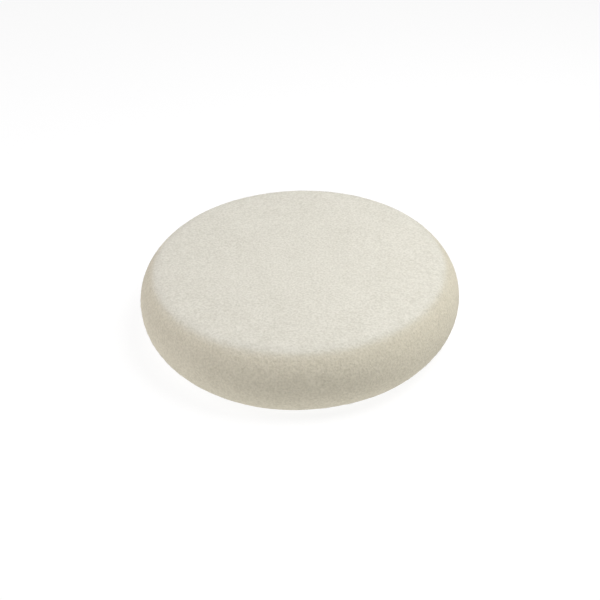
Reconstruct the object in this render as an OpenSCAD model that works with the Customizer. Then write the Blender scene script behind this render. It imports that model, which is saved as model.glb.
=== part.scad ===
// Screw-on felt polishing wheel, lying on its back with the working face up.
// Origin: centre of the back face. +Z runs along the wheel's axis towards the working face.

/* [Felt wheel] */
// Outside diameter of the felt, a 6 inch wheel
wheel_d = 152.4; // [150:0.1:204]
// Thickness of the felt, 1 3/8 inch
wheel_t = 34.9; // [33:0.1:46]
// Radius of the tighter arc where each flat face turns into the rim
corner_r = 8.5; // [6:0.5:15]
// Angle above the wheel's middle plane where that arc meets the rim's side arc
corner_angle = 45; // [40:1:60]

/* [Backing plate] */
// Diameter of the plate, 4 inch
plate_d = 101.6; // [90:0.1:104]
// Thickness of the plate
plate_t = 5; // [4.5:0.1:7]
// Depth of the plate's back below the felt's back face
plate_inset = 0.6; // [0.4:0.1:2]
// Chamfer around both edges of the plate
plate_chamfer = 0.8; // [0.3:0.1:1.2]
// Thickness of the adhesive between the felt and the plate
bond_t = 0.8; // [0.5:0.1:1.5]

/* [Threaded hub] */
// Minor diameter of the internal thread, 5/8-11 UNC
thread_minor_d = 13.6; // [11.8:0.1:14.5]
// Depth of the blind hole from its mouth
thread_depth = 18; // [14:0.5:22]
// Chamfer at the mouth of the hole
mouth_chamfer = 1.2; // [0.5:0.1:1.5]
// Diameter of the hub's barrel
barrel_d = 26; // [23:0.5:28]
// Thickness of the wall that closes the barrel
barrel_end_t = 4; // [3:0.5:5]
// Diameter of the flange that lies on the plate
flange_d = 60; // [56:0.5:70]
// Thickness of the flange
flange_t = 3; // [2.5:0.1:4]

/* [Rivets] */
// Number of rivets through the flange and the plate
rivet_count = 6; // [3:1:8]
// Diameter of the circle that the rivets stand on
rivet_pcd = 43; // [41:0.5:44]
// Diameter of a rivet's shank
rivet_d = 4; // [3:0.5:4]
// Diameter of a rivet's countersunk head
rivet_head_d = 7.2; // [6:0.1:7.5]
// Height of a rivet's formed head
rivet_dome_h = 1.4; // [1:0.1:1.5]
// Diameter of the washer under the formed head
washer_d = 9; // [8:0.5:10]
// Thickness of the washer
washer_t = 0.8; // [0.5:0.1:1]

/* [Hidden] */

$fn = 96;
// Overshoot of cutting shapes past the face that they cut
over = 1;
// Gap between the felt and the plate's edge, the barrel's side and the barrel's end
fit_gap = 0.4;
// Gap around each washer in its pocket
pocket_gap = 0.3;

wheel_r = wheel_d / 2;
mid_z = wheel_t / 2;
// The side arc and both corner arcs meet without a kink, so their centres lie on one line
side_r = corner_r + (mid_z - corner_r) / sin(corner_angle);
side_x = wheel_r - side_r;
face_r = side_x + (side_r - corner_r) * cos(corner_angle);

plate_top = plate_inset + plate_t;
flange_top = plate_top + flange_t;
barrel_top = plate_inset + thread_depth + barrel_end_t;
bond_r = flange_d / 2 + bond_t;
recess_r = plate_d / 2 + fit_gap;
pocket_h = rivet_dome_h + washer_t;
rivet_head_h = (rivet_head_d - rivet_d) / 2;

// Slice of a circle between two angles less than 140 degrees apart
module sector(centre, r, from, to) {
    reach = 3 * r;
    intersection() {
        translate(centre) circle(r);
        polygon([
            centre,
            centre + reach * [cos(from), sin(from)],
            centre + reach * [cos(to), sin(to)]
        ]);
    }
}

// Half of the wheel's cross-section: flat faces and a rounded rim of three arcs
module wheel_section() {
    low = [face_r, corner_r];
    high = [face_r, wheel_t - corner_r];
    side = [side_x, mid_z];
    square([face_r, wheel_t]);
    sector(low, corner_r, -90, -corner_angle);
    sector(side, side_r, -corner_angle, corner_angle);
    sector(high, corner_r, corner_angle, 90);
}

module ring(r_out, r_in, z_low, z_high) {
    translate([0, 0, z_low])
        difference() {
            cylinder(r = r_out, h = z_high - z_low);
            translate([0, 0, -over]) cylinder(r = r_in, h = z_high - z_low + 2 * over);
        }
}

module at_rivets() {
    for (i = [0 : rivet_count - 1])
        rotate(i * 360 / rivet_count)
            translate([rivet_pcd / 2, 0, 0])
                children();
}

// Pressed wool wheel with a stepped recess in its back for the plate, the flange and the barrel
module felt_body() {
    color("ivory")
        difference() {
            rotate_extrude() wheel_section();
            translate([0, 0, -over])
                cylinder(r = recess_r, h = over + plate_top + bond_t);
            cylinder(r = bond_r, h = flange_top + bond_t);
            cylinder(d = barrel_d + 2 * fit_gap, h = barrel_top + fit_gap);
        }
}

// Cured adhesive over the plate's face, up the flange's edge and over the flange
module adhesive_layer() {
    color("goldenrod") {
        ring(plate_d / 2, flange_d / 2, plate_top, plate_top + bond_t);
        ring(bond_r, flange_d / 2, plate_top, flange_top + bond_t);
        ring(bond_r, barrel_d / 2 + fit_gap, flange_top, flange_top + bond_t);
    }
}

// Rigid disc with a centre hole for the barrel and a pocket for each washer
module backing_plate() {
    color("sienna")
        translate([0, 0, plate_inset])
            difference() {
                union() {
                    cylinder(d1 = plate_d - 2 * plate_chamfer, d2 = plate_d, h = plate_chamfer);
                    translate([0, 0, plate_chamfer])
                        cylinder(d = plate_d, h = plate_t - 2 * plate_chamfer);
                    translate([0, 0, plate_t - plate_chamfer])
                        cylinder(d1 = plate_d, d2 = plate_d - 2 * plate_chamfer, h = plate_chamfer);
                }
                translate([0, 0, -over]) cylinder(d = barrel_d, h = plate_t + 2 * over);
                at_rivets() {
                    translate([0, 0, -over]) cylinder(d = rivet_d, h = plate_t + 2 * over);
                    translate([0, 0, -over])
                        cylinder(d = washer_d + 2 * pocket_gap, h = pocket_h + over);
                }
            }
}

// Turned hub: a barrel with a blind threaded hole and a flange drilled for the rivets
module threaded_hub() {
    color("silver")
        difference() {
            union() {
                translate([0, 0, plate_inset]) cylinder(d = barrel_d, h = barrel_top - plate_inset);
                translate([0, 0, plate_top]) cylinder(d = flange_d, h = flange_t);
            }
            translate([0, 0, plate_inset - over]) cylinder(d = thread_minor_d, h = thread_depth + over);
            translate([0, 0, plate_inset])
                cylinder(d1 = thread_minor_d + 2 * mouth_chamfer, d2 = thread_minor_d, h = mouth_chamfer);
            at_rivets() {
                translate([0, 0, plate_top - over]) cylinder(d = rivet_d, h = flange_t + 2 * over);
                translate([0, 0, flange_top - rivet_head_h])
                    cylinder(d1 = rivet_d, d2 = rivet_head_d, h = rivet_head_h);
            }
        }
}

// Solid rivets: a countersunk head flush with the flange and a domed head formed over the washer
module hub_rivets() {
    dome_r = washer_d / 2 - washer_t;
    dome_ball_r = (dome_r * dome_r + rivet_dome_h * rivet_dome_h) / (2 * rivet_dome_h);
    shank_low = plate_inset + rivet_dome_h;
    color("gold")
        at_rivets() {
            translate([0, 0, shank_low]) cylinder(d = rivet_d, h = flange_top - shank_low);
            translate([0, 0, flange_top - rivet_head_h])
                cylinder(d1 = rivet_d, d2 = rivet_head_d, h = rivet_head_h);
            intersection() {
                translate([0, 0, plate_inset + dome_ball_r]) sphere(dome_ball_r);
                translate([0, 0, plate_inset - over]) cylinder(d = washer_d, h = rivet_dome_h + over);
            }
        }
}

// Burrs that spread each rivet's load on the plate
module rivet_washers() {
    color("darkgoldenrod")
        at_rivets()
            ring(washer_d / 2, rivet_d / 2, plate_inset + rivet_dome_h, plate_inset + pocket_h);
}

felt_body();
adhesive_layer();
backing_plate();
threaded_hub();
hub_rivets();
rivet_washers();
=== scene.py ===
"""A screw-on felt polishing wheel, lying on its back.

A thick pressed-wool body with a rounded rim holds a backing plate, with a threaded steel hub riveted to it.
Both are let into the felt's back. All lengths are in metres.
"""

import math

import bmesh
import bpy
import numpy as np
from mathutils import Matrix, Vector, noise


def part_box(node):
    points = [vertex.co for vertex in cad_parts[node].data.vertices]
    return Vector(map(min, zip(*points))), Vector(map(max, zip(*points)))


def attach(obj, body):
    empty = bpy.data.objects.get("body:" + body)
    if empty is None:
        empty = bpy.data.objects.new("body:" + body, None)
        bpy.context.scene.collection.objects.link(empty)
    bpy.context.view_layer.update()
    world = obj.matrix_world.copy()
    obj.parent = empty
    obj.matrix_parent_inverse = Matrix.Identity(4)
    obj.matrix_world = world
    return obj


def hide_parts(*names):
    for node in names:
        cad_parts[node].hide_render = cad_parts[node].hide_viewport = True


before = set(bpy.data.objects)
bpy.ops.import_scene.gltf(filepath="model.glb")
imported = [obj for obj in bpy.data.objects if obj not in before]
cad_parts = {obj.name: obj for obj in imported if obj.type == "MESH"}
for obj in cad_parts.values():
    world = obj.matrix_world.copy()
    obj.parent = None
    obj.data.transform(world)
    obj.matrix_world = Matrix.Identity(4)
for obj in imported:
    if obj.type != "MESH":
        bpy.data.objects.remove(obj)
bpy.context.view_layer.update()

MM = 0.001
INCH = 25.4 * MM
TURN = 2 * math.pi
QUARTER = math.pi / 2

# Places and sizes that the CAD parts hold
felt_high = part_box("felt_body")[1]
plate_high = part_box("backing_plate")[1]
hub_low, hub_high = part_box("threaded_hub")
bond_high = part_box("adhesive_layer")[1]
rivets_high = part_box("hub_rivets")[1]
WHEEL_R = felt_high.x
WHEEL_T = felt_high.z
PLATE_R = plate_high.x
PLATE_TOP = plate_high.z
FLANGE_R = hub_high.x
FLANGE_TOP = rivets_high.z
BOND_T = bond_high.z - FLANGE_TOP
BOND_R = FLANGE_R + BOND_T

# The arcs where the rim meets the flat faces, and the fits around the plate and the hub
CORNER_R = 8.5 * MM
CORNER_ANGLE = math.radians(45)
FIT_GAP = 0.4 * MM
BARREL_R = 13 * MM
PLATE_CHAMFER = 0.8 * MM

# The hub's 5/8-11 thread
THREAD_PITCH = INCH / 11
THREAD_MAJOR_R = INCH * 5 / 16
THREAD_MINOR_R = 6.8 * MM
THREAD_DEPTH = 18 * MM


# ---------------------------------------------------------------- meshes

# Points that are closer together than this are one point
SAME_POINT = 1e-6
# Fewest vertices in a ring
FEWEST_SIDES = 12


def new_object(name, data):
    ob = bpy.data.objects.new(name, data)
    bpy.context.scene.collection.objects.link(ob)
    return ob


def mesh_piece(name, vertices, faces, smooth=True):
    mesh = bpy.data.meshes.new(name)
    mesh.from_pydata([tuple(v) for v in vertices], [], [tuple(f) for f in faces])
    mesh.validate()
    if smooth:
        mesh.shade_smooth()
    return new_object(name, mesh)


def arc(centre, radius, start, end, step):
    """Points along an arc, from one angle to another, both ends included."""
    count = max(2, math.ceil(abs(end - start) * radius / step))
    return [
        (centre[0] + radius * math.cos(a), centre[1] + radius * math.sin(a))
        for a in np.linspace(start, end, count + 1)
    ]


def line(start, end, step):
    """Points along a straight line, both ends included."""
    count = max(1, math.ceil(math.dist(start, end) / step))
    return [tuple(p) for p in np.linspace(start, end, count + 1)]


def joined(*stretches):
    """One outline from stretches that meet end to end."""
    points = []
    for stretch in stretches:
        for p in stretch:
            if not points or math.dist(p, points[-1]) > SAME_POINT:
                points.append(p)
    return points


def zip_rings(inner, outer):
    """Triangles between two closed rings of vertex numbers, which may differ in length."""
    if len(inner) == 1 or len(outer) == 1:
        apex, ring, flip = (inner[0], outer, False) if len(inner) == 1 else (outer[0], inner, True)
        for k, a in enumerate(ring):
            b = ring[(k + 1) % len(ring)]
            yield (apex, b, a) if flip else (apex, a, b)
        return
    i = j = 0
    n, m = len(inner), len(outer)
    while i < n or j < m:
        a, b = inner[i % n], outer[j % m]
        if j >= m or (i < n and (i + 1) / n <= (j + 1) / m):
            yield a, b, inner[(i + 1) % n]
            i += 1
        else:
            yield a, b, outer[(j + 1) % m]
            j += 1


def revolve(outline, steps):
    """Vertices, triangles and rings of an outline turned round Z.

    Each ring has as many vertices as its own step asks for.
    """
    vertices, rings = [], []
    for (r, z), step in zip(outline, steps):
        count = 1 if r < SAME_POINT else max(FEWEST_SIDES, round(TURN * r / step))
        first = len(vertices)
        for k in range(count):
            a = TURN * k / count
            vertices.append((r * math.cos(a), r * math.sin(a), z))
        rings.append(list(range(first, first + count)))
    faces = [f for a, b in zip(rings, rings[1:]) for f in zip_rings(a, b)]
    return np.array(vertices), faces, rings


def outline_normals(outline):
    """Outward normals of an outline that runs clockwise in r and z, seen with z up."""
    along = np.gradient(np.array(outline), axis=0)
    out = np.stack([-along[:, 1], along[:, 0]], 1)
    return out / np.linalg.norm(out, axis=1)[:, None]


# ---------------------------------------------------------------- felt body

# Spacing of the vertices where the felt shows, and in the pocket that the other parts hide
FELT_STEP = 0.72 * MM
POCKET_STEP = 2.5 * MM
# Fall of the working face from its centre to its edge
FACE_CROWN = 0.3 * MM
# Rounding where the back face turns into the recess
MOUTH_R = 0.6 * MM
MOUTH_STEP = MOUTH_R / 3
# Size and height of the wool's slow waves, of its lumps and of its nap
WAVE_SIZE = 34 * MM
WAVE_H = 0.16 * MM
LUMP_SIZE = 7 * MM
LUMP_H = 0.045 * MM
NAP_SIZE = 1.9 * MM
NAP_H = 0.055 * MM
# Roughness, lacunarity and octaves of the nap's noise
NAP_FRACTAL = (0.9, 2.1, 2)
# Shift of the lumps' pattern, so that it doesn't line up with the waves'
LUMP_SHIFT = Vector((3, 5, 7))

# The rim's side arc and both corner arcs meet without a kink, so their centres lie on one line
MID_Z = WHEEL_T / 2
SIDE_R = CORNER_R + (MID_Z - CORNER_R) / math.sin(CORNER_ANGLE)
SIDE_X = WHEEL_R - SIDE_R
FACE_R = SIDE_X + (SIDE_R - CORNER_R) * math.cos(CORNER_ANGLE)
RECESS_R = PLATE_R + FIT_GAP


def felt_outline():
    """The outer stretch, from the face's centre round the rim to the recess's mouth, and then the pocket."""
    outer = joined(
        line((0, WHEEL_T), (FACE_R, WHEEL_T), FELT_STEP),
        arc((FACE_R, WHEEL_T - CORNER_R), CORNER_R, QUARTER, CORNER_ANGLE, FELT_STEP),
        arc((SIDE_X, MID_Z), SIDE_R, CORNER_ANGLE, -CORNER_ANGLE, FELT_STEP),
        arc((FACE_R, CORNER_R), CORNER_R, -CORNER_ANGLE, -QUARTER, FELT_STEP),
        line((FACE_R, 0), (RECESS_R + MOUTH_R, 0), FELT_STEP),
        arc((RECESS_R + MOUTH_R, MOUTH_R), MOUTH_R, -QUARTER, -2 * QUARTER, MOUTH_STEP),
    )
    barrel = BARREL_R + FIT_GAP
    over_plate = PLATE_TOP + BOND_T
    over_flange = FLANGE_TOP + BOND_T
    over_barrel = hub_high.z + FIT_GAP
    turns = [
        (RECESS_R, MOUTH_R), (RECESS_R, over_plate), (BOND_R, over_plate), (BOND_R, over_flange),
        (barrel, over_flange), (barrel, over_barrel), (0, over_barrel),
    ]
    pocket = joined(*(line(a, b, POCKET_STEP) for a, b in zip(turns, turns[1:])))
    return outer, pocket[1:]


def crowned(outline):
    """The outline with its upper half eased down towards the face's edge, which crowns the face faintly."""
    return [
        (r, z - FACE_CROWN * min(1, (r / FACE_R) ** 2) * max(0, (z - MID_Z) / MID_Z))
        for r, z in outline
    ]


def felt_relief(p):
    """Height of the pressed wool's surface at a point: slow waves, lumps and a fine nap."""
    waves = noise.noise(p / WAVE_SIZE) * WAVE_H
    lumps = noise.noise(p / LUMP_SIZE + LUMP_SHIFT) * LUMP_H
    nap = noise.fractal(p / NAP_SIZE, *NAP_FRACTAL) * NAP_H
    return waves + lumps + nap


def felt_body():
    """The pressed-wool wheel. Gives back the outline of its outer surface."""
    outer, pocket = felt_outline()
    outer = crowned(outer)
    outline = outer + pocket
    steps = [FELT_STEP] * len(outer) + [POCKET_STEP] * len(pocket)
    vertices, faces, rings = revolve(outline, steps)
    normals = outline_normals(outline)
    for ring, (nr, nz) in zip(rings[: len(outer) - 1], normals):
        for i in ring:
            x, y, z = vertices[i]
            r = max(math.hypot(x, y), SAME_POINT)
            vertices[i] += felt_relief(Vector((x, y, z))) * np.array((nr * x / r, nr * y / r, nz))
    vertices[:, 2] = np.maximum(vertices[:, 2], 0)
    piece = mesh_piece("felt_wheel", vertices, faces)
    piece.data.materials.append(felt_material())
    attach(piece, "root")
    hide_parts("felt_body")
    return outer


# ---------------------------------------------------------------- loose wool fibres

FIBRE_SEED = 7
FIBRE_COUNT = 5200
FIBRE_POINTS = 6
FIBRE_SIDES = 3
FIBRE_R = 0.028 * MM
FIBRE_SHORT = 1.6 * MM
FIBRE_LONG = 4.2 * MM
# Spread of the hairs' curl, in radians per metre
FIBRE_CURL = 260
# Height of the hairs above the felt: the shape and the scale of its spread
LIFT_SHAPE = 2.0
LIFT_SCALE = 0.07 * MM
# Depth of a hair's root in the felt
ROOT_DEPTH = 0.06 * MM
# Share of the hairs that have one end free
FREE_SHARE = 0.35
# Nearer the axis than this, a hair's path turns round the axis no more quickly
TURNING_R = 2 * MM
# Radius of a hair at its root, its middle and its tip, as a share of FIBRE_R
TAPER = (1, 0.9, 0.35)
# A slanting direction that hairs hardly ever run along, for finding their sides
ACROSS = (0.13, 0.21, 0.97)


def unit(vectors):
    """The vectors at length one."""
    return vectors / (np.linalg.norm(vectors, axis=2)[..., None] + 1e-12)


def fibre_paths(outer):
    """Points along each hair, which starts anywhere on the outer surface and wanders over it."""
    rng = np.random.default_rng(FIBRE_SEED)
    path = np.array(outer)
    reach = np.concatenate([[0], np.cumsum(np.linalg.norm(np.diff(path, axis=0), axis=1))])
    normal = outline_normals(outer)
    area = np.cumsum((path[1:, 0] + path[:-1, 0]) * np.diff(reach))
    along = np.interp(rng.random(FIBRE_COUNT) * area[-1], area, reach[1:])
    around = rng.random(FIBRE_COUNT) * TURN
    heading = rng.random(FIBRE_COUNT) * TURN
    curl = rng.normal(0, FIBRE_CURL, FIBRE_COUNT)
    length = rng.uniform(FIBRE_SHORT, FIBRE_LONG, FIBRE_COUNT)
    lift = rng.gamma(LIFT_SHAPE, LIFT_SCALE, FIBRE_COUNT)
    free_end = rng.random(FIBRE_COUNT) < FREE_SHARE
    pace = length / (FIBRE_POINTS - 1)
    points = np.zeros((FIBRE_COUNT, FIBRE_POINTS, 3))
    for k in range(FIBRE_POINTS):
        t = k / (FIBRE_POINTS - 1)
        arch = np.where(free_end, math.sin(t * QUARTER), math.sin(t * math.pi))
        rise = arch * lift - ROOT_DEPTH * (1 - t)
        r = np.interp(along, reach, path[:, 0]) + np.interp(along, reach, normal[:, 0]) * rise
        z = np.interp(along, reach, path[:, 1]) + np.interp(along, reach, normal[:, 1]) * rise
        points[:, k] = np.stack([r * np.cos(around), r * np.sin(around), np.maximum(z, FIBRE_R)], 1)
        heading = heading + curl * pace
        along = np.clip(along + pace * np.cos(heading), 0, reach[-1])
        around = around + pace * np.sin(heading) / np.maximum(r, TURNING_R)
    return points


def fibre_tubes(points):
    """Vertices and faces of a thin closed tube along each hair."""
    tangent = unit(np.gradient(points, axis=1))
    side = unit(np.cross(tangent, ACROSS))
    other = np.cross(tangent, side)
    thickness = np.interp(np.linspace(0, 1, FIBRE_POINTS), [0, 0.5, 1], TAPER) * FIBRE_R
    rings = []
    for k in range(FIBRE_SIDES):
        a = TURN * k / FIBRE_SIDES
        rings.append(points + (math.cos(a) * side + math.sin(a) * other) * thickness[None, :, None])
    faces = []
    for hair in range(FIBRE_COUNT):
        base = hair * FIBRE_POINTS * FIBRE_SIDES
        for k in range(FIBRE_POINTS - 1):
            here = base + k * FIBRE_SIDES
            there = here + FIBRE_SIDES
            for j in range(FIBRE_SIDES):
                beside = (j + 1) % FIBRE_SIDES
                faces.append((here + j, here + beside, there + beside, there + j))
        end = base + (FIBRE_POINTS - 1) * FIBRE_SIDES
        faces.append(tuple(base + j for j in reversed(range(FIBRE_SIDES))))
        faces.append(tuple(end + j for j in range(FIBRE_SIDES)))
    return np.stack(rings, 2).reshape(-1, 3), faces


def felt_fibres(outer):
    """Short curled hairs that lie on the felt, rooted in it at one end or both."""
    piece = mesh_piece("felt_fibres", *fibre_tubes(fibre_paths(outer)))
    piece.data.materials.append(fibre_material())
    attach(piece, "root")


# ---------------------------------------------------------------- adhesive

# Height of the bead's lower edge above the back face, how far it wanders, and how quickly round the wheel
BEAD_LOW = 2.4 * MM
BEAD_WANDER = 1.1 * MM
BEAD_WAVES = 6
# How far the middle of the bead hangs below its sides
BEAD_SAG = 0.12 * MM
# Gap between the bead and the walls beside it
BEAD_GAP = 0.02 * MM
BOND_COLUMNS = 360


def adhesive():
    """The bond over the plate and the flange, with an uneven bead squeezed down round the plate's edge."""
    inner = BARREL_R + FIT_GAP
    edge_r = PLATE_R + BEAD_GAP
    wall_r = RECESS_R - BEAD_GAP
    outline = [
        (inner, FLANGE_TOP), (inner, FLANGE_TOP + BOND_T), (BOND_R, FLANGE_TOP + BOND_T),
        (BOND_R, PLATE_TOP + BOND_T), (wall_r, PLATE_TOP + BOND_T), (wall_r, 0), ((wall_r + edge_r) / 2, 0),
        (edge_r, 0), (edge_r, PLATE_TOP - PLATE_CHAMFER), (PLATE_R - PLATE_CHAMFER, PLATE_TOP),
        (FLANGE_R, PLATE_TOP), (FLANGE_R, FLANGE_TOP),
    ]
    # The outline's points that form the bead's lower edge, and how far each hangs below it
    bead_sag = {5: 0, 6: BEAD_SAG, 7: 0}
    rows = len(outline)
    vertices, faces = [], []
    for k in range(BOND_COLUMNS):
        a = TURN * k / BOND_COLUMNS
        wander = noise.noise(Vector((math.cos(a), math.sin(a), 0)) * BEAD_WAVES)
        bead_z = BEAD_LOW + wander * BEAD_WANDER
        for i, (r, z) in enumerate(outline):
            if i in bead_sag:
                z = bead_z - bead_sag[i]
            vertices.append((r * math.cos(a), r * math.sin(a), z))
        here = k * rows
        there = (k + 1) % BOND_COLUMNS * rows
        for i in range(rows):
            beside = (i + 1) % rows
            faces.append((here + i, here + beside, there + beside, there + i))
    piece = mesh_piece("adhesive_bond", vertices, faces, smooth=False)
    piece.data.materials.append(adhesive_material())
    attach(piece, "root")
    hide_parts("adhesive_layer")


# ---------------------------------------------------------------- hub

# Steps of the thread round the hub and along one pitch
THREAD_COLUMNS = 72
THREAD_ROWS = 16
# Half of the groove's width at its mouth, and the width of one of its flanks, in pitches
GROOVE_HALF = 7 / 16
FLANK = 3 / 8
# Gap between the cutter's core and the hole's wall
CORE_GAP = 0.1 * MM
# Faces that meet more sharply than this keep a hard edge
HARD_EDGE = math.radians(28)


def thread_cutter():
    """A closed screw shape whose ridges cut the hub's internal thread. Its core stays clear of the wall."""
    core = THREAD_MINOR_R - CORE_GAP
    # The screw begins two pitches outside the hole, so the thread runs out before the hole's end
    low = hub_low.z - 2 * THREAD_PITCH
    turns = math.floor(THREAD_DEPTH / THREAD_PITCH + 0.5)
    rows = turns * THREAD_ROWS
    end = low + turns * THREAD_PITCH
    vertices, faces = [], []
    for i in range(THREAD_COLUMNS):
        a = TURN * i / THREAD_COLUMNS
        for j in range(rows + 1):
            u = j / THREAD_ROWS % 1
            z = low + THREAD_PITCH * (j / THREAD_ROWS + i / THREAD_COLUMNS)
            ridge = min(1, max(0, (GROOVE_HALF - abs(u - 0.5)) / FLANK))
            fade = min(1, max(0, (end - z) / THREAD_PITCH))
            r = core + (THREAD_MAJOR_R - core) * ridge * fade
            vertices.append((r * math.cos(a), r * math.sin(a), z))
    # The last column joins the first one a pitch further up
    column = rows + 1
    tail = (THREAD_COLUMNS - 1) * column
    for i in range(THREAD_COLUMNS):
        here = i * column
        last = here == tail
        there = 0 if last else here + column
        shift = THREAD_ROWS if last else 0
        for j in range(rows - shift):
            faces.append((here + j, there + j + shift, there + j + shift + 1, here + j + 1))
    bottom = len(vertices)
    top = bottom + 1
    vertices += [(0, 0, low - THREAD_PITCH), (0, 0, end + THREAD_PITCH)]
    starts = [i * column for i in range(THREAD_COLUMNS)] + list(range(THREAD_ROWS, 0, -1))
    ends = [i * column + rows for i in range(THREAD_COLUMNS)]
    ends += [tail + j for j in range(rows - 1, rows - THREAD_ROWS - 1, -1)]
    for loop, tip, flip in ((starts, bottom, True), (ends, top, False)):
        for a, b in zip(loop, loop[1:] + loop[:1]):
            faces.append((tip, b, a) if flip else (tip, a, b))
    return mesh_piece("thread_cutter", vertices, faces, smooth=False)


def hub():
    """The CAD hub's shape with a real thread cut in its hole."""
    piece = new_object("hub_threaded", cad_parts["threaded_hub"].data.copy())
    shape = bmesh.new()
    shape.from_mesh(piece.data)
    bmesh.ops.remove_doubles(shape, verts=shape.verts, dist=SAME_POINT)
    shape.to_mesh(piece.data)
    shape.free()
    cutter = thread_cutter()
    cut = piece.modifiers.new("thread", "BOOLEAN")
    cut.operation = "DIFFERENCE"
    cut.solver = "EXACT"
    cut.object = cutter
    bpy.context.view_layer.update()
    done = bpy.data.meshes.new_from_object(piece.evaluated_get(bpy.context.evaluated_depsgraph_get()))
    piece.modifiers.clear()
    piece.data = done
    done.name = "hub_threaded"
    bpy.data.objects.remove(cutter)
    done.materials.clear()
    done.materials.append(steel_material())
    done.shade_smooth()
    done.set_sharp_from_angle(angle=HARD_EDGE)
    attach(piece, "root")
    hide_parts("threaded_hub")


# ---------------------------------------------------------------- materials

class Nodes:
    """A material's node tree with short ways to add the nodes that these materials share."""

    def __init__(self, name):
        self.material = bpy.data.materials.new(name)
        self.material.use_nodes = True
        self.tree = self.material.node_tree
        self.shader = next(n for n in self.tree.nodes if n.type == "BSDF_PRINCIPLED")
        self.place = self.add("ShaderNodeTexCoord").outputs["Object"]

    def add(self, kind, **values):
        node = self.tree.nodes.new(kind)
        for key, value in values.items():
            setattr(node, key, value)
        return node

    def link(self, source, socket):
        self.tree.links.new(source, socket)

    def set(self, node, socket, value):
        if isinstance(value, bpy.types.NodeSocket):
            self.link(value, node.inputs[socket])
        else:
            node.inputs[socket].default_value = value

    def moved(self, turn=(0, 0, 0), stretch=(1, 1, 1), source=None):
        node = self.add("ShaderNodeMapping")
        self.link(source or self.place, node.inputs["Vector"])
        node.inputs["Rotation"].default_value = turn
        node.inputs["Scale"].default_value = stretch
        return node.outputs["Vector"]

    def noise(self, size, detail, rough=0.5, at=None):
        node = self.add("ShaderNodeTexNoise")
        self.link(at or self.place, node.inputs["Vector"])
        node.inputs["Scale"].default_value = 1 / size
        node.inputs["Detail"].default_value = detail
        node.inputs["Roughness"].default_value = rough
        return node.outputs["Fac"]

    def math(self, operation, a, b=0.0, clamp=False):
        node = self.add("ShaderNodeMath", operation=operation, use_clamp=clamp)
        self.set(node, 0, a)
        self.set(node, 1, b)
        return node.outputs[0]

    def spread(self, value, low, high, to_low=0.0, to_high=1.0, smooth=False):
        node = self.add("ShaderNodeMapRange")
        if smooth:
            node.interpolation_type = "SMOOTHSTEP"
        self.link(value, node.inputs["Value"])
        numbers = {"From Min": low, "From Max": high, "To Min": to_low, "To Max": to_high}
        for socket, number in numbers.items():
            node.inputs[socket].default_value = number
        return node.outputs[0]

    def mix(self, factor, a, b, blend="MIX"):
        node = self.add("ShaderNodeMix", data_type="RGBA", blend_type=blend)
        sockets = {s.identifier: s for s in node.inputs}
        for key, value in (("Factor_Float", factor), ("A_Color", a), ("B_Color", b)):
            if isinstance(value, bpy.types.NodeSocket):
                self.link(value, sockets[key])
            else:
                sockets[key].default_value = value if key == "Factor_Float" else (*value, 1)
        return next(s for s in node.outputs if s.identifier == "Result_Color")

    def bump(self, height, depth, strength, after=None):
        node = self.add("ShaderNodeBump")
        node.inputs["Strength"].default_value = strength
        node.inputs["Distance"].default_value = depth
        self.link(height, node.inputs["Height"])
        if after:
            self.link(after, node.inputs["Normal"])
        return node.outputs["Normal"]

    def flatness(self):
        """1 where the surface faces straight up or down, and 0 where it faces sideways."""
        apart = self.add("ShaderNodeSeparateXYZ")
        self.link(self.add("ShaderNodeNewGeometry").outputs["Normal"], apart.inputs[0])
        return self.math("ABSOLUTE", apart.outputs["Z"])

    def finish(self, colour, roughness, normal=None, **constants):
        self.set(self.shader, "Base Color", colour)
        self.set(self.shader, "Roughness", roughness)
        if normal:
            self.link(normal, self.shader.inputs["Normal"])
        for socket, value in constants.items():
            self.shader.inputs[socket.replace("_", " ")].default_value = value
        return self.material


FELT_PALE = (0.755, 0.735, 0.655)
FELT_DEEP = (0.60, 0.58, 0.50)
# Warm shade painted on the rim where it faces sideways, standing in for warm bounced light, not a colour of
# the wool itself
RIM_PAINTED_WARM_SHADE = (0.955, 0.915, 0.835)
# Sizes of the felt's marks: hairs, the wander of the hairs, the grain and the clouds
HAIR_MARK = 0.3 * MM
HAIR_WANDER_SIZE = 5 * MM
HAIR_WANDER = 2.2 * MM
GRAIN_MARK = 1.0 * MM
CLOUD_MARK = 16 * MM

RESIN_DARK = (0.36, 0.19, 0.05)
RESIN_PALE = (0.60, 0.40, 0.15)

STEEL_DARK = (0.36, 0.36, 0.37)
STEEL_PALE = (0.62, 0.62, 0.63)
RUST = (0.23, 0.12, 0.06)

LAMINATE_DARK = (0.085, 0.036, 0.016)
LAMINATE_PALE = (0.27, 0.135, 0.06)
LAMINATE_EDGE = (0.36, 0.22, 0.11)
LAMINATE_SCUFF = (0.42, 0.30, 0.19)
# Pitch of the laminate's canvas, its slant, and how many bands a wave texture draws in one unit
WEAVE_PITCH = 1.1 * MM
WEAVE_SLANT = 0.35
WAVES_PER_UNIT = 20 / TURN

BRASS_DARK = (0.66, 0.46, 0.17)
BRASS_PALE = (0.80, 0.60, 0.27)
TARNISH = (0.24, 0.13, 0.055)


def fibre_streaks(n, warp):
    """Matted hairs: thin streaks that run in four directions and wander."""
    total = None
    for k, turn in enumerate((0.3, 1.1, 1.9, 2.7)):
        tilt = 0.5 * math.sin(2.4 * k)
        at = n.moved(turn=(tilt, 0.3 * tilt, turn), stretch=(0.13, 1, 1), source=warp)
        streak = n.noise(HAIR_MARK, detail=1.5, at=at)
        total = streak if total is None else n.math("MAXIMUM", total, streak)
    return total


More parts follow.
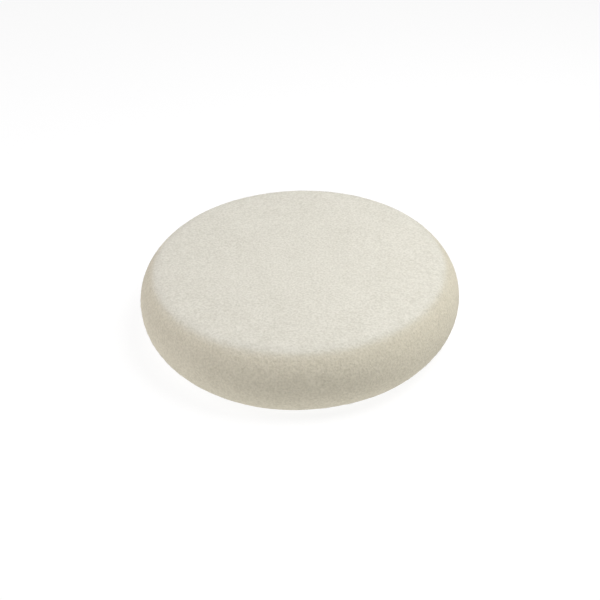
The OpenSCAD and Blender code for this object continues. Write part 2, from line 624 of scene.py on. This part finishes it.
def felt_material():
    """Pressed wool: pale grain with matted hairs over it, faint clouds, and warm shade painted on the rim
    where it faces sideways, standing in for warm light bounced onto it.
    """
    n = Nodes("felt_wool")
    wander = n.add("ShaderNodeTexNoise")
    n.link(n.place, wander.inputs["Vector"])
    wander.inputs["Scale"].default_value = 1 / HAIR_WANDER_SIZE
    warped = n.add("ShaderNodeVectorMath", operation="MULTIPLY_ADD")
    n.link(wander.outputs["Color"], warped.inputs[0])
    warped.inputs[1].default_value = (HAIR_WANDER,) * 3
    n.link(n.place, warped.inputs[2])
    streaks = fibre_streaks(n, warped.outputs[0])
    grain = n.noise(GRAIN_MARK, detail=1)
    clouds = n.noise(CLOUD_MARK, detail=3, rough=0.55)
    shade = n.math("ADD", n.spread(grain, 0.3, 0.7, 0, 0.8), n.spread(streaks, 0.45, 0.75, 0, 0.35))
    shade = n.math("ADD", shade, n.spread(clouds, 0.35, 0.65, -0.06, 0.07), clamp=True)
    colour = n.mix(shade, FELT_DEEP, FELT_PALE)
    # Painted warm shade: the rim's sideways faces are multiplied by a warmer, darker tint in place of warm
    # interreflected light
    rim = n.spread(n.flatness(), 0.96, 0.6, smooth=True)
    colour = n.mix(rim, colour, RIM_PAINTED_WARM_SHADE, blend="MULTIPLY")
    normal = n.bump(streaks, 0.2 * MM, 0.8, n.bump(grain, 0.3 * MM, 0.85))
    return n.finish(colour, 0.93, normal, Specular_IOR_Level=0.1, Sheen_Weight=0.04, Sheen_Roughness=0.6)


def fibre_material():
    """Loose hairs in the felt's own colours."""
    n = Nodes("felt_hair")
    tone = n.noise(6 * MM, detail=1)
    colour = n.mix(n.spread(tone, 0.35, 0.65), FELT_DEEP, FELT_PALE)
    return n.finish(colour, 0.8, Specular_IOR_Level=0.3, Sheen_Weight=0.2, Sheen_Roughness=0.5)


def adhesive_material():
    """Amber resin: cloudy, glossy where it wetted out and dusty where wool has stuck to it."""
    n = Nodes("adhesive_resin")
    colour = n.mix(n.noise(3 * MM, detail=3), RESIN_DARK, RESIN_PALE)
    dust = n.spread(n.noise(0.7 * MM, detail=3, rough=0.7), 0.56, 0.66)
    colour = n.mix(n.math("MULTIPLY", dust, 0.6), colour, FELT_PALE)
    gloss = n.spread(n.noise(1.5 * MM, detail=2), 0.3, 0.7, 0.2, 0.42)
    rough = n.math("ADD", gloss, n.math("MULTIPLY", dust, 0.35))
    return n.finish(colour, rough, n.bump(n.noise(1.2 * MM, detail=2), 0.2 * MM, 0.5))


def turned_rings(n, pitch):
    """Noise that changes only with height and with the distance from the axis, as turning leaves it."""
    apart = n.add("ShaderNodeSeparateXYZ")
    n.link(n.place, apart.inputs[0])
    reach = n.add("ShaderNodeVectorMath", operation="LENGTH")
    n.link(n.moved(stretch=(1, 1, 0)), reach.inputs[0])
    along = n.add("ShaderNodeCombineXYZ")
    n.link(reach.outputs["Value"], along.inputs["X"])
    n.link(apart.outputs["Z"], along.inputs["Z"])
    return n.noise(pitch, detail=2, rough=0.6, at=along.outputs[0])


def scratches(n, size):
    """Thin straight scores in three directions, few and faint."""
    total = None
    for k in range(3):
        at = n.moved(turn=(0, 0, 0.4 + 2.1 * k), stretch=(0.02, 1, 1))
        score = n.spread(n.noise(size, detail=1, at=at), 0.70, 0.76)
        total = score if total is None else n.math("MAXIMUM", total, score)
    return total


def steel_material():
    """Turned mild steel, faintly oiled, with brown stains where it has begun to rust."""
    n = Nodes("hub_turned_steel")
    rings = turned_rings(n, 0.22 * MM)
    clouds = n.spread(n.noise(5 * MM, detail=3), 0.3, 0.7, 0, 0.4)
    tone = n.math("ADD", n.spread(rings, 0.3, 0.7, 0, 0.6), clouds)
    colour = n.mix(tone, STEEL_DARK, STEEL_PALE)
    stain = n.spread(n.noise(2.6 * MM, detail=4, rough=0.65), 0.58, 0.72)
    colour = n.mix(n.math("MULTIPLY", stain, 0.7), colour, RUST)
    rough = n.math("ADD", n.spread(rings, 0.3, 0.7, 0.22, 0.38), n.math("MULTIPLY", stain, 0.35))
    return n.finish(colour, rough, n.bump(rings, 0.05 * MM, 0.7), Metallic=1.0)


def weave(n):
    """Crossing threads of the canvas that reinforces the plate, 0 in the gaps and 1 on the crowns."""
    threads = []
    for direction in ("X", "Y"):
        node = n.add("ShaderNodeTexWave", wave_type="BANDS", bands_direction=direction)
        n.link(n.moved(turn=(0, 0, WEAVE_SLANT)), node.inputs["Vector"])
        node.inputs["Scale"].default_value = 1 / (WEAVE_PITCH * WAVES_PER_UNIT)
        node.inputs["Distortion"].default_value = 0.8
        node.inputs["Detail"].default_value = 1.0
        node.inputs["Detail Scale"].default_value = 0.4
        threads.append(node.outputs["Fac"])
    return n.math("MULTIPLY", *threads)


def plate_material():
    """Canvas laminate in brown resin: its weave shows, its chamfers are paler and its face is scuffed."""
    n = Nodes("plate_canvas_laminate")
    cloth = weave(n)
    blotch = n.spread(n.noise(9 * MM, detail=4), 0.3, 0.7, 0, 0.4)
    tone = n.math("ADD", n.math("MULTIPLY", cloth, 0.6), blotch)
    colour = n.mix(tone, LAMINATE_DARK, LAMINATE_PALE)
    cut_edge = n.spread(n.flatness(), 0.97, 0.85, 0, 0.45)
    colour = n.mix(cut_edge, colour, LAMINATE_EDGE)
    scuff = scratches(n, 0.5 * MM)
    colour = n.mix(n.math("MULTIPLY", scuff, 0.35), colour, LAMINATE_SCUFF)
    rough = n.math("ADD", n.spread(cloth, 0, 1, 0.48, 0.34), n.math("MULTIPLY", scuff, 0.25))
    normal = n.bump(cloth, 0.05 * MM, 0.6, n.bump(turned_rings(n, 0.5 * MM), 0.03 * MM, 0.4))
    return n.finish(colour, rough, normal)


def brass_material(name):
    """Brass with brown tarnish in patches and fine marks from the rivet set."""
    n = Nodes(name)
    tarnish = n.spread(n.noise(1.8 * MM, detail=4, rough=0.6), 0.42, 0.68)
    colour = n.mix(n.noise(0.8 * MM, detail=2), BRASS_DARK, BRASS_PALE)
    colour = n.mix(n.math("MULTIPLY", tarnish, 0.75), colour, TARNISH)
    polish = n.spread(n.noise(0.5 * MM, detail=3), 0.3, 0.7, 0.2, 0.34)
    rough = n.math("ADD", polish, n.math("MULTIPLY", tarnish, 0.3))
    marks = n.noise(0.35 * MM, detail=2, at=n.moved(turn=(0, 0, 0.9), stretch=(0.15, 1, 1)))
    return n.finish(colour, rough, n.bump(marks, 0.03 * MM, 0.6), Metallic=1.0)


def dress(node, material):
    """Give a carried-over CAD node its material."""
    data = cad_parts[node].data
    data.materials.clear()
    data.materials.append(material)


# ---------------------------------------------------------------- stage

VIEW_ELEVATION = math.radians(35.4)
VIEW_ROLL = math.radians(1.63)
# The camera's sensor and lens, in millimetres
SENSOR_WIDTH = 36
FOCAL_LENGTH = 75.72
# The camera's distance, and how far below and right of the wheel's centre it aims, in wheel radii
DISTANCE_PER_R = 7.975
AIM_BELOW = 0.053
AIM_RIGHT = 0.0028


def camera():
    """Looks along +Y and down, with the wheel's right end a little higher in the frame than its left."""
    data = bpy.data.cameras.new("camera")
    data.sensor_width = SENSOR_WIDTH
    data.lens = FOCAL_LENGTH
    back = Vector((0, -math.cos(VIEW_ELEVATION), math.sin(VIEW_ELEVATION)))
    right = Vector((1, 0, 0))
    up = back.cross(right)
    right, up = (
        right * math.cos(VIEW_ROLL) - up * math.sin(VIEW_ROLL),
        up * math.cos(VIEW_ROLL) + right * math.sin(VIEW_ROLL),
    )
    aim = Vector((0, 0, MID_Z)) - up * AIM_BELOW * WHEEL_R + right * AIM_RIGHT * WHEEL_R
    place = aim + back * DISTANCE_PER_R * WHEEL_R
    ob = new_object("camera", data)
    ob.matrix_world = Matrix.Translation(place) @ Matrix((right, up, back)).transposed().to_4x4()
    bpy.context.scene.camera = ob


FLOOR_HALF = 12.0
FLOOR_DROP = 0.05 * MM
FLOOR_GREY = 0.2
FLOOR_GLOW = 0.85
# Sines of the elevations where the pale band round the horizon begins to fade and where it has faded
HORIZON_SINE = 0.06
DARK_SINE = 0.34
ZENITH_GREY = 0.06
WORLD_STRENGTH = 0.87


def floor():
    """A floor that glows like a light table, so that it stays pale all round."""
    corners = [(-1, -1), (1, -1), (1, 1), (-1, 1)]
    vertices = [(x * FLOOR_HALF, y * FLOOR_HALF, -FLOOR_DROP) for x, y in corners]
    piece = mesh_piece("floor", vertices, [(0, 1, 2, 3)], smooth=False)
    n = Nodes("floor_pale")
    n.shader.inputs["Emission Color"].default_value = (1, 1, 1, 1)
    n.shader.inputs["Emission Strength"].default_value = FLOOR_GLOW
    grey = (FLOOR_GREY, FLOOR_GREY, FLOOR_GREY, 1)
    piece.data.materials.append(n.finish(grey, 0.9, Specular_IOR_Level=0.0))


def surroundings():
    """A pale band round the horizon that turns dim overhead, where the lights do the work."""
    world = bpy.data.worlds.new("studio")
    bpy.context.scene.world = world
    world.use_nodes = True
    tree = world.node_tree
    place = tree.nodes.new("ShaderNodeTexCoord")
    apart = tree.nodes.new("ShaderNodeSeparateXYZ")
    fall = tree.nodes.new("ShaderNodeMapRange")
    fall.interpolation_type = "SMOOTHSTEP"
    numbers = {"From Min": HORIZON_SINE, "From Max": DARK_SINE, "To Min": 1.0, "To Max": ZENITH_GREY}
    for socket, number in numbers.items():
        fall.inputs[socket].default_value = number
    tree.links.new(place.outputs["Generated"], apart.inputs[0])
    tree.links.new(apart.outputs["Z"], fall.inputs["Value"])
    background = tree.nodes["Background"]
    tree.links.new(fall.outputs[0], background.inputs["Color"])
    background.inputs["Strength"].default_value = WORLD_STRENGTH


def area_light(name, azimuth, elevation, distance, size, power, colour=(1, 1, 1)):
    """A round light that faces the origin, placed by angles in degrees."""
    data = bpy.data.lights.new(name, "AREA")
    data.shape = "DISK"
    data.size = size
    data.energy = power
    data.color = colour
    a, e = math.radians(azimuth), math.radians(elevation)
    place = Vector((math.cos(e) * math.cos(a), math.cos(e) * math.sin(a), math.sin(e))) * distance
    ob = new_object(name, data)
    ob.visible_camera = False
    ob.matrix_world = Matrix.Translation(place) @ place.to_track_quat("Z", "Y").to_matrix().to_4x4()


def lights():
    """A soft key close by on the right and a wider soft box on the left.

    The floor and the horizon light the rim as well.
    """
    area_light("key", azimuth=356, elevation=65, distance=0.5, size=0.34, power=2.1)
    area_light("left_box", azimuth=184, elevation=42, distance=0.8, size=0.5, power=2.6, colour=(1, 0.97, 1))


scene = bpy.context.scene
scene.view_settings.view_transform = "Standard"
camera()
floor()
surroundings()
lights()
outer_outline = felt_body()
felt_fibres(outer_outline)
adhesive()
hub()
dress("backing_plate", plate_material())
dress("hub_rivets", brass_material("rivet_brass"))
dress("rivet_washers", brass_material("washer_brass"))
